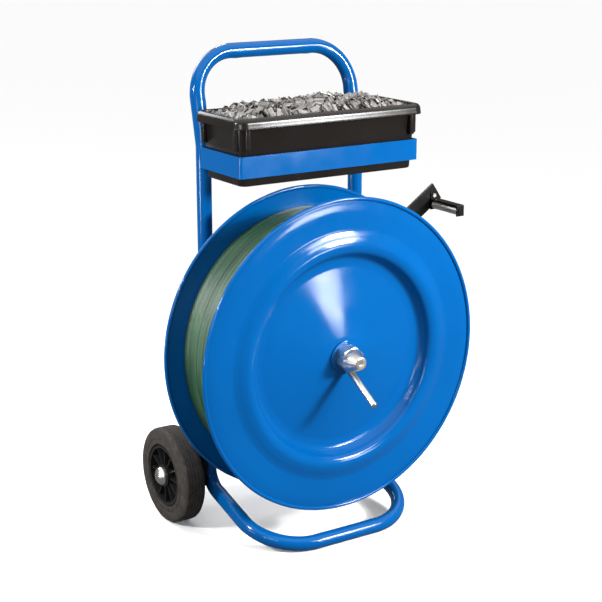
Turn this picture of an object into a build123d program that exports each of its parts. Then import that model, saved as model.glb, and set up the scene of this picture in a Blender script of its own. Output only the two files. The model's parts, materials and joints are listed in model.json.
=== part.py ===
"""Strapping-band dispenser trolley: tube frame on two wheels, clamped coil reel,
sprung brake arm with guide roller, and a seal tray.

Millimetres. X points right, Y back and Z up. The origin lies on the floor,
midway between the two uprights and in the plane of their centre lines.
"""
from build123d import *
import math
import os

os.makedirs("parts", exist_ok=True)

# ---------------------------------------------------------------- driving sizes
TUBE_R = 15.0            # frame tube, 30 mm outside
TUBE_WALL = 2.5
UPRIGHT_X = 181.0        # centre line of each upright
HANDLE_JOINT_Z = 735.0   # butt weld between upright and handle bow
FOOT_JOINT_Z = 225.0     # butt weld between upright and foot bow
HANDLE_BEND_Z = 789.0    # the handle leans back above this height
HANDLE_TOP_Z = 965.0
HANDLE_TOP_Y = 38.7
HANDLE_CORNER_R = 86.0
LEAN_BEND_R = 90.0
FOOT_FRONT_Y = -243.0    # centre line of the foot's front bar
FOOT_SLOPE = 15.5        # degrees, the foot's sides rise towards the back
FOOT_CORNER_R = 108.0
FOOT_HEEL_R = 45.0

REEL_Z = 386.0           # height of the reel's axis
REEL_MID_Y = -151.0      # middle of the strap coil
HALF_GAP = 77.0          # middle of the coil to a flange's edge plane
FLANGE_R = 318.0
BEAD_R = 4.0
SHEET = 2.0
FLANGE_FLAT_R = 36.0     # flat centre of each flange

CORE_INNER_R = 203.0     # 406 mm cardboard core
CORE_WALL = 8.0
CORE_HALF = 69.5
COIL_OUTER_R = 276.0
COIL_HALF = 74.5

SPINDLE_R = 12.5
RUNNING = 0.05           # radial clearance of a running fit
HUB_INNER_R = 18.5
HUB_OUTER_R = 22.5
HUB_REAR_Y = -24.0
HUB_FRONT_Y = -228.0
DRUM_R = 70.0

STUD_R = 13.4            # M27 thread, drawn as its outside cylinder
NUT_BORE_R = 13.45
NUT_FLATS = 48.0
WASHER_R = 34.0

WHEEL_R = 100.0
WHEEL_WIDTH = 50.0
WHEEL_MID_X = 242.0
AXLE_Y = 44.5
AXLE_R = 10.0

PIVOT_Z = 511.0          # brake arm's pivot, on the right upright
ARM_ANGLE = 34.6         # degrees, along a radius of the reel
ARM_TIP = 457.0          # from the reel's axis
ARM_WIDTH = 40.0
ARM_FRONT_Y = -33.0
ARM_THICK = 6.0
ROLLER_X = 367.0
ROLLER_Z = 616.5
ROLLER_R = 8.7
BRACKET_FRONT_Y = -125.0
STRIP = 3.0

RING_HALF_X = 205.5      # flat strip ring that carries the tray
RING_HALF_Y = 76.25
RING_BOTTOM_Z = 752.0
RING_HEIGHT = 41.0
RING_CORNER_R = 5.0
TRAY_Y = -106.25
TRAY_BOTTOM_Z = 735.0
TRAY_TOP_Z = 864.0
TRAY_WALL = 2.5

SPRING_X = 230.4
SPRING_ANCHOR_Z = 420.0


# ---------------------------------------------------------------- helpers
def save(name, *solids):
    """Write one node: a single solid, or a group of separate solids."""
    body = solids[0] if len(solids) == 1 else Compound(children=list(solids))
    body.label = name
    export_step(body, f"parts/{name}.step")


def rod(start, end, radius, inner=0.0):
    """A round bar or tube between two points."""
    start, end = Vector(*start), Vector(*end)
    run = end - start
    place = Plane(origin=start, z_dir=run)
    part = extrude(place * Circle(radius), run.length)
    if inner:
        part -= extrude(place * Circle(inner), run.length)
    return part.solid()


def along_y(x, z, y0, y1, radius, inner=0.0):
    return rod((x, y0, z), (x, y1, z), radius, inner)


def along_x(y, z, x0, x1, radius, inner=0.0):
    return rod((x0, y, z), (x1, y, z), radius, inner)


def box(x0, x1, y0, y1, z0, z1):
    size = (x1 - x0, y1 - y0, z1 - z0)
    centre = ((x0 + x1) / 2, (y0 + y1) / 2, (z0 + z1) / 2)
    return Pos(*centre) * Box(*size)


def hexagon(x, z, y0, y1, flats):
    """A hexagonal prism along Y, such as a bolt head or a nut."""
    radius = flats / math.sqrt(3)
    place = Plane(origin=(x, y0, z), x_dir=(1, 0, 0), z_dir=(0, 1 if y1 > y0 else -1, 0))
    return extrude(place * RegularPolygon(radius, 6), abs(y1 - y0)).solid()


def bent_tube(points, radii):
    """Hollow round tube along straight runs joined by tangent arcs."""
    path = FilletPolyline(*points, radius=radii)
    place = Plane(origin=path @ 0, z_dir=path % 0)
    outside = sweep(place * Circle(TUBE_R), path)
    inside = sweep(place * Circle(TUBE_R - TUBE_WALL), path)
    return (outside - inside).solid()


def mirror_x(shape):
    return mirror(shape, about=Plane.YZ)


def reel_turn(face):
    """Revolve a face, drawn with X as radius and Y as the row's Y, about the reel's axis."""
    return Pos(0, 0, REEL_Z) * revolve(face, axis=Axis.Y)


# ---------------------------------------------------------------- frame
def handle_bow():
    half = UPRIGHT_X
    points = [
        (-half, 0, HANDLE_JOINT_Z),
        (-half, 0, HANDLE_BEND_Z),
        (-half, HANDLE_TOP_Y, HANDLE_TOP_Z),
        (half, HANDLE_TOP_Y, HANDLE_TOP_Z),
        (half, 0, HANDLE_BEND_Z),
        (half, 0, HANDLE_JOINT_Z),
    ]
    return bent_tube(points, [LEAN_BEND_R, HANDLE_CORNER_R, HANDLE_CORNER_R, LEAN_BEND_R])


PLATE_BOLT_Z = (152.0, 192.0)
PLATE_BOLT_R = 4.0


def foot_bow():
    half = UPRIGHT_X
    heel_z = TUBE_R - FOOT_FRONT_Y * math.tan(math.radians(FOOT_SLOPE))
    points = [
        (-half, 0, FOOT_JOINT_Z),
        (-half, 0, heel_z),
        (-half, FOOT_FRONT_Y, TUBE_R),
        (half, FOOT_FRONT_Y, TUBE_R),
        (half, 0, heel_z),
        (half, 0, FOOT_JOINT_Z),
    ]
    bow = bent_tube(points, [FOOT_HEEL_R, FOOT_CORNER_R, FOOT_CORNER_R, FOOT_HEEL_R])
    for z in PLATE_BOLT_Z:
        bow -= along_x(0, z, -half - 30, half + 30, PLATE_BOLT_R)
    return bow.solid()


def upright(side):
    tube = rod((side * UPRIGHT_X, 0, FOOT_JOINT_Z), (side * UPRIGHT_X, 0, HANDLE_JOINT_Z),
               TUBE_R, TUBE_R - TUBE_WALL)
    if side > 0:
        tube -= along_y(UPRIGHT_X, PIVOT_Z, -30, 30, 6.0)
    return tube.solid()


def cross_tube():
    tall, deep, wall = 60.0, 30.0, 3.0
    tube = box(-UPRIGHT_X, UPRIGHT_X, -deep / 2, deep / 2, REEL_Z - tall / 2, REEL_Z + tall / 2)
    tube -= box(-UPRIGHT_X, UPRIGHT_X, -deep / 2 + wall, deep / 2 - wall,
                REEL_Z - tall / 2 + wall, REEL_Z + tall / 2 - wall)
    for side in (-1, 1):
        tube -= rod((side * UPRIGHT_X, 0, 300), (side * UPRIGHT_X, 0, 480), TUBE_R)
    tube -= along_y(0, REEL_Z, -30, 30, SPINDLE_R)
    return max(tube.solids(), key=lambda s: s.volume)


def tray_holder_ring():
    outline = RectangleRounded(2 * RING_HALF_X, 2 * RING_HALF_Y, RING_CORNER_R)
    hole = RectangleRounded(2 * (RING_HALF_X - STRIP), 2 * (RING_HALF_Y - STRIP), RING_CORNER_R - STRIP)
    ring = extrude(Plane.XY.offset(RING_BOTTOM_Z) * (outline - hole), RING_HEIGHT)
    return (Pos(0, TRAY_Y, 0) * ring).solid()


def ring_standoffs():
    back = TRAY_Y + RING_HALF_Y
    blocks = []
    for side in (-1, 1):
        x = side * UPRIGHT_X
        block = box(x - 9, x + 9, back, -6, RING_BOTTOM_Z, RING_BOTTOM_Z + 24)
        block -= rod((x, 0, 740), (x, 0, HANDLE_BEND_Z), TUBE_R)
        blocks.append(block.solid())
    return blocks


# ---------------------------------------------------------------- axle and wheels
PLATE_INNER_X = UPRIGHT_X + TUBE_R
PLATE_THICK = 8.0
PLATE_OUTER_X = PLATE_INNER_X + PLATE_THICK
WHEEL_INNER_X = WHEEL_MID_X - WHEEL_WIDTH / 2
WHEEL_OUTER_X = WHEEL_MID_X + WHEEL_WIDTH / 2
AXLE_END_X = WHEEL_OUTER_X + 6.0


def axle_plate():
    outline = Polyline((-19, 84), (-19, 212), (15, 212), (66, 130), (68, 84), (56, 76), (20, 76), close=True)
    face = fillet(make_face(outline).vertices(), 6)
    plate = extrude(Plane.YZ.offset(PLATE_INNER_X) * face, PLATE_THICK)
    plate -= along_x(AXLE_Y, WHEEL_R, PLATE_INNER_X - 1, PLATE_OUTER_X + 1, AXLE_R)
    for z in PLATE_BOLT_Z:
        plate -= along_x(0, z, PLATE_INNER_X - 1, PLATE_OUTER_X + 1, PLATE_BOLT_R)
    return plate.solid()


def plate_bolt(z):
    """Bolt through plate and tube: head outside the plate, nut inside the frame."""
    inner = UPRIGHT_X - TUBE_R
    place = Plane(origin=(PLATE_OUTER_X, 0, z), x_dir=(0, 1, 0), z_dir=(1, 0, 0))
    head = extrude(place * RegularPolygon(13 / math.sqrt(3), 6), 5.5)
    place = Plane(origin=(inner, 0, z), x_dir=(0, 1, 0), z_dir=(-1, 0, 0))
    nut = extrude(place * RegularPolygon(13 / math.sqrt(3), 6), 6.5)
    return (head + nut + along_x(0, z, inner - 10, PLATE_OUTER_X, PLATE_BOLT_R)).solid()


def axle_spacer():
    return along_x(AXLE_Y, WHEEL_R, PLATE_OUTER_X, WHEEL_INNER_X - 0.5, 15.0, AXLE_R)


TYRE_INNER_R = 64.0
WHEEL_BUSH_R = 14.0


def wheel_turn(face):
    """Revolve a face, drawn with X as the row's X and Y as radius, about the right wheel's axle."""
    return Pos(0, AXLE_Y, WHEEL_R) * revolve(Plane.XZ * face, axis=Axis.X)


def tyre():
    half = WHEEL_WIDTH / 2
    x0, x1 = WHEEL_MID_X - half, WHEEL_MID_X + half
    outline = Polyline((x0 + 3, TYRE_INNER_R), (x1 - 3, TYRE_INNER_R), (x1, TYRE_INNER_R + 5),
                       (x1, 88), (x1 - 9, WHEEL_R), (x0 + 9, WHEEL_R), (x0, 88),
                       (x0, TYRE_INNER_R + 5), close=True)
    face = make_face(outline)
    shoulders = [v for v in face.vertices() if v.Y > 80]
    face = fillet(shoulders, 5)
    body = wheel_turn(face)
    for offset in (-12, -4, 4, 12):
        x = WHEEL_MID_X + offset
        body -= wheel_turn(Pos(x, WHEEL_R) * Rectangle(2.4, 5.0))
    return body.solid()


def rim():
    mid = WHEEL_MID_X
    band = Pos(mid, 61.0) * Rectangle(WHEEL_WIDTH - 10, 6.0)
    flanges = [Pos(mid + s * (WHEEL_WIDTH / 2 - 3.5), 60.5) * Rectangle(3.0, 5.0) for s in (-1, 1)]
    web = Pos(mid, 39.0) * Rectangle(4.0, 44.0)
    hub = Pos(mid, 18.5) * Rectangle(WHEEL_WIDTH, 9.0)
    body = wheel_turn(band) + wheel_turn(web) + wheel_turn(hub)
    for piece in flanges:
        body += wheel_turn(piece)
    for i in range(12):
        rib = box(mid - 20, mid + 20, -1.25, 1.25, 20, 60)
        body += Pos(0, AXLE_Y, WHEEL_R) * (Rot(360 * i / 12, 0, 0) * rib)
    return body.solid()


def wheel_bush():
    return along_x(AXLE_Y, WHEEL_R, WHEEL_INNER_X, WHEEL_OUTER_X, WHEEL_BUSH_R, AXLE_R + RUNNING)


def hub_cap():
    """Domed push-on cap that grips the end of the axle."""
    x0 = WHEEL_OUTER_X + 0.4
    outline = Line((x0, AXLE_R), (x0, 19)) + Line((x0, 19), (x0 + 3, 19))
    outline += ThreePointArc((x0 + 3, 19), (x0 + 10.4, 13.5), (x0 + 13.5, 3))
    outline += Line((x0 + 13.5, 3), (x0 + 13.5, 0)) + Line((x0 + 13.5, 0), (AXLE_END_X, 0))
    outline += Line((AXLE_END_X, 0), (AXLE_END_X, AXLE_R))
    outline += Line((AXLE_END_X, AXLE_R), (x0, AXLE_R))
    return wheel_turn(make_face(outline)).solid()


# ---------------------------------------------------------------- reel
def flange_profile(hole_r):
    """Half section of a pressed flange. X is radius, Y is height above the edge plane, outwards."""
    flat_end, cone_base, cone_top = (258.0, 0.0), (152.0, -16.0), (FLANGE_FLAT_R, 3.0)
    ridge = [(240, 3.0), (221, 8.5), (206, 0.0), (198.5, -13.0), (188, -23.5), (170, -22.0)]
    slope = (cone_top[1] - cone_base[1]) / (cone_top[0] - cone_base[0])
    edge = FLANGE_R - BEAD_R

    def line_set(drop):
        def low(p):
            return (p[0], p[1] - drop)
        lines = Line(low((edge, 0)), low(flat_end))
        lines += Spline([low(flat_end), *[low(p) for p in ridge], low(cone_base)],
                        tangents=[(-1, 0), (-1, -slope)])
        lines += Line(low(cone_base), low(cone_top))
        lines += Line(low(cone_top), low((hole_r, cone_top[1])))
        return lines

    outline = line_set(0) + line_set(SHEET)
    outline += Line((edge, 0), (edge, -SHEET))
    outline += Line((hole_r, cone_top[1]), (hole_r, cone_top[1] - SHEET))
    sheet = make_face(outline)
    bead = Pos(edge, -SHEET / 2) * Circle(BEAD_R)
    return sheet + bead


def front_flange():
    face = mirror(flange_profile(STUD_R + 0.35), about=Plane.XZ)
    return reel_turn(Pos(0, REEL_MID_Y - HALF_GAP) * face).solid()


CIRCLIP_INNER_R = 11.2
CIRCLIP_Y = (-192.4, -194.0)


def spindle():
    """Fixed shaft through the cross tube, with a circlip groove near its front end."""
    shaft = along_y(0, REEL_Z, 19, -198, SPINDLE_R)
    shaft -= along_y(0, REEL_Z, *CIRCLIP_Y, SPINDLE_R + 2, CIRCLIP_INNER_R)
    return shaft.solid()


FLANGE_SCREW_PCD_R = 29.3
FLANGE_SCREW_R = 2.5


def screw_ring(make):
    """Six copies of a shape around the reel's axis."""
    return [Pos(0, 0, REEL_Z) * (Rot(0, 60 * i, 0) * make()) for i in range(6)]


def rear_flange():
    body = reel_turn(Pos(0, REEL_MID_Y + HALF_GAP) * flange_profile(HUB_OUTER_R))
    for hole in screw_ring(lambda: along_y(FLANGE_SCREW_PCD_R, 0, -90, -50, FLANGE_SCREW_R)):
        body -= hole
    return body.solid()


FLANGE_BACK_Y = REEL_MID_Y + HALF_GAP + 3.0


def hub_flange():
    body = along_y(0, REEL_Z, FLANGE_BACK_Y, FLANGE_BACK_Y + 5, FLANGE_FLAT_R - 0.5, HUB_OUTER_R)
    for hole in screw_ring(lambda: along_y(FLANGE_SCREW_PCD_R, 0, -90, -50, FLANGE_SCREW_R)):
        body -= hole
    return body.solid()


def flange_screw():
    """Button-head screw in from the coil's side, its end flush with the hub flange."""
    x = FLANGE_SCREW_PCD_R
    front = FLANGE_BACK_Y - SHEET
    head = along_y(x, 0, front - 3, front, 4.5)
    return (head + along_y(x, 0, front, FLANGE_BACK_Y + 5, FLANGE_SCREW_R)).solid()


def brake_drum():
    wall = 4.0
    rear, front = HUB_REAR_Y, HUB_REAR_Y - 24
    ring = along_y(0, REEL_Z, rear, front, DRUM_R, DRUM_R - wall)
    web = along_y(0, REEL_Z, front + wall, front, DRUM_R - wall, HUB_OUTER_R)
    return (ring + web).solid()


def threaded_stud():
    """Plug welded in the hub tube's front end, with the clamp nut's thread on it."""
    plug = along_y(0, REEL_Z, HUB_FRONT_Y + 22, HUB_FRONT_Y, HUB_INNER_R)
    shank = along_y(0, REEL_Z, HUB_FRONT_Y, -275, STUD_R)
    tip = shank.edges().filter_by(GeomType.CIRCLE).sort_by(Axis.Y)[0]
    return (plug + chamfer(tip, 2)).solid()


FLANGE_FRONT_Y = REEL_MID_Y - HALF_GAP - 3.0
NUT_BACK_Y = FLANGE_FRONT_Y - 4.0
NUT_COLLAR = 3.0
NUT_HEX = 20.0
NUT_DOME_R = 24.0


def clamp_washer():
    washer = along_y(0, REEL_Z, FLANGE_FRONT_Y, NUT_BACK_Y, WASHER_R, STUD_R + 0.35)
    rim = washer.edges().filter_by(GeomType.CIRCLE).filter_by_position(Axis.Y, NUT_BACK_Y - 0.1, NUT_BACK_Y + 0.1)
    return fillet(rim.sort_by(lambda edge: edge.radius)[-1], 1.6).solid()


BAR_ANGLE = math.radians(30)
BAR_R = 7.0
BAR_APEX_Y = -206.3      # where the bar's centre line meets the reel's axis


BAR_START = 20.8         # distances of its two ends from the reel's axis
BAR_END = 73.0


def on_bar(radius):
    """Point of the bar's centre line at this distance from the reel's axis."""
    return (0, BAR_APEX_Y - radius / math.tan(BAR_ANGLE), REEL_Z - radius)


def clamp_bar():
    start, end = on_bar(BAR_START), on_bar(BAR_END)
    bar = rod(start, end, BAR_R)
    tip = bar.edges().filter_by(GeomType.CIRCLE).sort_by(Axis.Y)[0]
    bar = fillet(tip, 5.0)
    centre_drill = rod(on_bar(BAR_END - 1), on_bar(BAR_END + 5), 1.6)
    return (bar - centre_drill).solid()


def clamp_nut():
    hex_back = NUT_BACK_Y - NUT_COLLAR
    dome_back = hex_back - NUT_HEX
    corner_r = NUT_FLATS / math.sqrt(3)
    body = along_y(0, REEL_Z, NUT_BACK_Y, hex_back, NUT_FLATS / 2 + 1.5)
    prism = hexagon(0, REEL_Z, hex_back, dome_back, NUT_FLATS)
    chamfer_cone = Line((0, hex_back), (corner_r - 1.2, hex_back))
    chamfer_cone += Line((corner_r - 1.2, hex_back), (corner_r, hex_back - 2))
    chamfer_cone += Line((corner_r, hex_back - 2), (corner_r, dome_back + 2))
    chamfer_cone += Line((corner_r, dome_back + 2), (corner_r - 1.6, dome_back))
    chamfer_cone += Line((corner_r - 1.6, dome_back), (0, dome_back)) + Line((0, dome_back), (0, hex_back))
    body += prism & reel_turn(make_face(chamfer_cone))
    centre_y = dome_back - 4.6
    dome = Pos(0, centre_y, REEL_Z) * Sphere(NUT_DOME_R)
    body += dome & along_y(0, REEL_Z, dome_back + 1, dome_back - 30, NUT_DOME_R + 5)
    body -= along_y(0, REEL_Z, NUT_BACK_Y, -277, NUT_BORE_R)
    body -= rod(on_bar(BAR_START), on_bar(60), BAR_R)
    return body.solid()


# ---------------------------------------------------------------- brake arm
def arm_point(distance, offset=0.0):
    """(x, z) of a point on the arm: distance from the reel's axis, offset to its upper side."""
    a = math.radians(ARM_ANGLE)
    x = distance * math.cos(a) - offset * math.sin(a)
    z = REEL_Z + distance * math.sin(a) + offset * math.cos(a)
    return x, z


SHOE_ANGLE = math.radians(10)
SHOE_R = 95.0            # middle of the shoe's back, from the reel's axis
SHOE_GAP = 0.4
SHOE = (SHOE_R * math.cos(SHOE_ANGLE), REEL_Z + SHOE_R * math.sin(SHOE_ANGLE))
ARM_BACK_Y = ARM_FRONT_Y + ARM_THICK
ARM_BUSH_R = 9.0
PIVOT_BOLT_R = 6.0
SPRING_PIN_R = 4.0
ARM_BOLT = arm_point(443.0)


def xz_bar(start, end, width):
    """Flat bar outline between two (x, z) points, with a round start."""
    run = Vector(end[0] - start[0], end[1] - start[1])
    angle = math.degrees(math.atan2(run.Y, run.X))
    bar = Rot(0, 0, angle) * (Pos(run.length / 2, 0) * Rectangle(run.length, width))
    return Pos(*start) * (bar + Circle(width / 2))


def brake_arm():
    pivot = (UPRIGHT_X, PIVOT_Z)
    outline = xz_bar(pivot, arm_point(ARM_TIP), ARM_WIDTH) + xz_bar(pivot, SHOE, 34.0)
    outline += Pos(*SHOE) * Circle(17.0)
    place = Plane(origin=(0, ARM_FRONT_Y, 0), x_dir=(1, 0, 0), z_dir=(0, -1, 0))
    arm = extrude(place * outline, -ARM_THICK)
    arm -= along_y(*pivot, -60, 0, ARM_BUSH_R)
    arm -= along_y(*ARM_BOLT, -60, 0, 2.5)
    for x, z in shoe_screw_places():
        arm -= along_y(x, z, -60, 0, 2.5)
    arm -= along_y(SPRING_X, spring_pin_z(), -60, 0, SPRING_PIN_R)
    return arm.solid()


def spring_pin_z():
    return PIVOT_Z + (SPRING_X - UPRIGHT_X) * math.tan(math.radians(ARM_ANGLE))


def shoe_screw_places():
    side = (-math.sin(SHOE_ANGLE), math.cos(SHOE_ANGLE))
    return [(SHOE[0] + s * 9 * side[0], SHOE[1] + s * 9 * side[1]) for s in (-1, 1)]


def shoe_sector(inner, outer, half_angle, y0, y1):
    """Part of a ring around the reel's axis, centred on the shoe's direction."""
    ring = along_y(0, REEL_Z, y0, y1, outer, inner)
    reach = outer * 1.5
    spread = reach * math.tan(math.radians(half_angle))
    wedge = make_face(Polyline((0, 0), (reach, -spread), (reach, spread), close=True))
    place = Plane(origin=(0, y0, REEL_Z), x_dir=(1, 0, 0), z_dir=(0, -1, 0))
    cut = extrude(place * (Rot(0, 0, math.degrees(SHOE_ANGLE)) * wedge), y0 - y1)
    return (ring & cut).solid()


def brake_shoe():
    shoe = shoe_sector(DRUM_R + 8.0, SHOE_R + 14, 14, ARM_FRONT_Y, ARM_FRONT_Y - 12)
    for x, z in shoe_screw_places():
        shoe -= along_y(x, z, -60, 0, 2.5)
    return shoe.solid()


def brake_pad():
    return shoe_sector(DRUM_R + SHOE_GAP, DRUM_R + 8.0, 16, ARM_FRONT_Y + 3, ARM_FRONT_Y - 13)


def shoe_screw(x, z):
    head = along_y(x, z, ARM_BACK_Y + 3, ARM_BACK_Y, 4.5)
    return (head + along_y(x, z, ARM_BACK_Y, ARM_FRONT_Y - 12, 2.5)).solid()


def arm_pivot_bush():
    return along_y(UPRIGHT_X, PIVOT_Z, ARM_FRONT_Y, ARM_BACK_Y, ARM_BUSH_R, PIVOT_BOLT_R + RUNNING)


def arm_pivot_bolt():
    head = hexagon(UPRIGHT_X, PIVOT_Z, ARM_FRONT_Y - 0.4, ARM_FRONT_Y - 8, 18)
    return (head + along_y(UPRIGHT_X, PIVOT_Z, ARM_FRONT_Y - 0.4, 27, PIVOT_BOLT_R)).solid()


def arm_pivot_spacer():
    spacer = along_y(UPRIGHT_X, PIVOT_Z, ARM_BACK_Y + 0.3, -8, 10.0, PIVOT_BOLT_R)
    spacer -= rod((UPRIGHT_X, 0, 480), (UPRIGHT_X, 0, 540), TUBE_R)
    return max(spacer.solids(), key=lambda s: s.volume)


def arm_pivot_nut():
    nut = hexagon(UPRIGHT_X, PIVOT_Z, TUBE_R, TUBE_R + 10, 18)
    return (nut - along_y(UPRIGHT_X, PIVOT_Z, 0, 30, PIVOT_BOLT_R)).solid()


def spring_pin():
    collar = along_y(SPRING_X, spring_pin_z(), 4, 6, SPRING_PIN_R + 2)
    return (collar + along_y(SPRING_X, spring_pin_z(), ARM_FRONT_Y, 4, SPRING_PIN_R)).solid()


def spring_anchor():
    bar = along_x(0, SPRING_ANCHOR_Z, UPRIGHT_X + 10, SPRING_X + 8, SPRING_PIN_R)
    bar += along_x(0, SPRING_ANCHOR_Z, SPRING_X + 6, SPRING_X + 8, SPRING_PIN_R + 2)
    bar -= rod((UPRIGHT_X, 0, 380), (UPRIGHT_X, 0, 460), TUBE_R)
    return max(bar.solids(), key=lambda s: s.volume)


def return_spring():
    """Tension spring drawn as its outside tube, with a hook loop at each end."""
    wire, coil_r, loop_r = 1.0, 8.0, 6.2
    low, high = SPRING_ANCHOR_Z, spring_pin_z()
    coil_low, coil_high = low + loop_r + 8, high - loop_r - 8
    body = rod((SPRING_X, 0, coil_low), (SPRING_X, 0, coil_high), coil_r, coil_r - 2 * wire)
    for z, plane, tail in ((low, Plane.YZ, coil_low), (high, Plane.XZ, coil_high)):
        loop = Torus(loop_r, wire, rotation=(0, 90, 0) if plane == Plane.YZ else (90, 0, 0))
        body += Pos(SPRING_X, 0, z) * loop
        near = z + math.copysign(loop_r, tail - z)
        cap_end = tail + math.copysign(2, tail - z)
        body += rod((SPRING_X, 0, near), (SPRING_X, 0, cap_end), wire)
        body += rod((SPRING_X, 0, tail), (SPRING_X, 0, cap_end), coil_r - wire)
    return body.solid()


# ---------------------------------------------------------------- guide roller
BRACKET_HALF = 9.5
BRACKET_BOTTOM_Z = ROLLER_Z - 10.0
BRACKET_TOP_Z = ROLLER_Z + 13.5
ROLLER_PIN_R = 4.0


def roller_bracket():
    x0, x1 = ROLLER_X - BRACKET_HALF, ROLLER_X + BRACKET_HALF
    rear = ARM_FRONT_Y
    leg_top = ARM_BOLT[1] + 5.5
    bracket = box(x0, x1, rear - STRIP, rear, BRACKET_BOTTOM_Z, leg_top)
    bracket += box(x0, x1, BRACKET_FRONT_Y, rear, BRACKET_TOP_Z - STRIP, BRACKET_TOP_Z)
    bracket += box(x0, x1, BRACKET_FRONT_Y, BRACKET_FRONT_Y + STRIP, BRACKET_BOTTOM_Z, BRACKET_TOP_Z)
    bracket -= along_y(*ARM_BOLT, -60, 0, 2.5)
    bracket -= along_y(ROLLER_X, ROLLER_Z, -200, 0, ROLLER_PIN_R)
    edges = bracket.edges().filter_by(Axis.X)
    edges = edges.filter_by_position(Axis.Y, BRACKET_FRONT_Y - 0.1, BRACKET_FRONT_Y + 0.1)
    return fillet(edges.sort_by(Axis.Z)[-1], 2.0).solid()


def bracket_bolt():
    x, z = ARM_BOLT
    head = hexagon(x, z, ARM_FRONT_Y - STRIP, ARM_FRONT_Y - STRIP - 4, 8)
    nut = hexagon(x, z, ARM_BACK_Y, ARM_BACK_Y + 5, 8)
    return (head + nut + along_y(x, z, ARM_FRONT_Y - STRIP, ARM_BACK_Y + 6, 2.5)).solid()


def roller_pin():
    head = along_y(ROLLER_X, ROLLER_Z, BRACKET_FRONT_Y, BRACKET_FRONT_Y - 2, 6.0)
    return (head + along_y(ROLLER_X, ROLLER_Z, BRACKET_FRONT_Y, ARM_FRONT_Y, ROLLER_PIN_R)).solid()


ROLLER_REAR_Y = ARM_FRONT_Y - STRIP - 1.5
ROLLER_FRONT_Y = BRACKET_FRONT_Y + STRIP + 1.0
ROLLER_WALL = 1.7


def guide_roller():
    return along_y(ROLLER_X, ROLLER_Z, ROLLER_REAR_Y, ROLLER_FRONT_Y, ROLLER_R, ROLLER_R - ROLLER_WALL)


def roller_bushes():
    length = 12.0
    ends = ((ROLLER_REAR_Y, ROLLER_REAR_Y - length), (ROLLER_FRONT_Y + length, ROLLER_FRONT_Y))
    return [along_y(ROLLER_X, ROLLER_Z, y0, y1, ROLLER_R - ROLLER_WALL, ROLLER_PIN_R + RUNNING)
            for y0, y1 in ends]


# ---------------------------------------------------------------- seal tray
LIP_HALF_X = 214.7
LIP_HALF_Y = 85.75
LIP_DEPTH = 20.0
LIP_CORNER_R = 23.0
LIP_FLARE = 1.5          # the lip leans out by this much at its lower edge
BODY_BOTTOM = (198.0, 68.5)      # half sizes of the tray's body at its bottom
BODY_TOP = (205.0, 75.5)
BODY_CORNER_R = 15.0


def rounded(half_x, half_y, corner, z):
    return Plane.XY.offset(z) * RectangleRounded(2 * half_x, 2 * half_y, corner)


def tapered(inset, z0, z1):
    """The tray body's tapered block, inset by this much, from z0 to z1."""
    sections = []
    for z in (z0, z1):
        t = (z - TRAY_BOTTOM_Z) / (TRAY_TOP_Z - TRAY_BOTTOM_Z)
        half_x = BODY_BOTTOM[0] + t * (BODY_TOP[0] - BODY_BOTTOM[0]) - inset
        half_y = BODY_BOTTOM[1] + t * (BODY_TOP[1] - BODY_BOTTOM[1]) - inset
        sections.append(rounded(half_x, half_y, BODY_CORNER_R - inset, z))
    return loft(sections)


def seal_tray():
    low = LIP_FLARE
    lip = loft([rounded(LIP_HALF_X + low, LIP_HALF_Y + low, LIP_CORNER_R + low, TRAY_TOP_Z - LIP_DEPTH),
                rounded(LIP_HALF_X, LIP_HALF_Y, LIP_CORNER_R, TRAY_TOP_Z)])
    lip_edges = lip.edges().group_by(Axis.Z)[-1]
    lip = fillet(lip_edges, 5)
    hollow = extrude(rounded(LIP_HALF_X - TRAY_WALL, LIP_HALF_Y - TRAY_WALL, LIP_CORNER_R - TRAY_WALL,
                             TRAY_TOP_Z - LIP_DEPTH), LIP_DEPTH - 4)
    tray = (lip - hollow) + tapered(0, TRAY_BOTTOM_Z, TRAY_TOP_Z - 2)
    shoulder_z = RING_BOTTOM_Z + RING_HEIGHT + 0.3
    for sx in (-1, 1):
        for sy in (-1, 1):
            rib = box(sx * 203 - 7, sx * 203 + 7, sy * 58 - 5, sy * 58 + 5, shoulder_z, TRAY_TOP_Z - 5)
            tray += rib
            rib = box(sx * 188 - 5, sx * 188 + 5, sy * 73.5 - 7, sy * 73.5 + 7, shoulder_z, TRAY_TOP_Z - 5)
            tray += rib
    tray -= tapered(TRAY_WALL, TRAY_BOTTOM_Z + TRAY_WALL, TRAY_TOP_Z + 1)
    return (Pos(0, TRAY_Y, 0) * tray).solid()


def seals_heap():
    """Loose seals as one closed solid: it fills the tray and rises to a low mound.

    It is hollow below, so that it weighs about what the loose seals weigh.
    """
    fill_z = TRAY_TOP_Z - 14
    fill = tapered(TRAY_WALL + 0.6, TRAY_BOTTOM_Z + TRAY_WALL + 0.3, fill_z)
    mound = loft([rounded(BODY_TOP[0] - 5, BODY_TOP[1] - 5, 12, fill_z),
                  rounded(BODY_TOP[0] - 40, BODY_TOP[1] - 34, 25, TRAY_TOP_Z + 12)])
    heap = (fill + mound) - tapered(TRAY_WALL + 6.6, TRAY_BOTTOM_Z, fill_z - 8)
    return (Pos(0, TRAY_Y, 0) * heap).solid()


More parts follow.
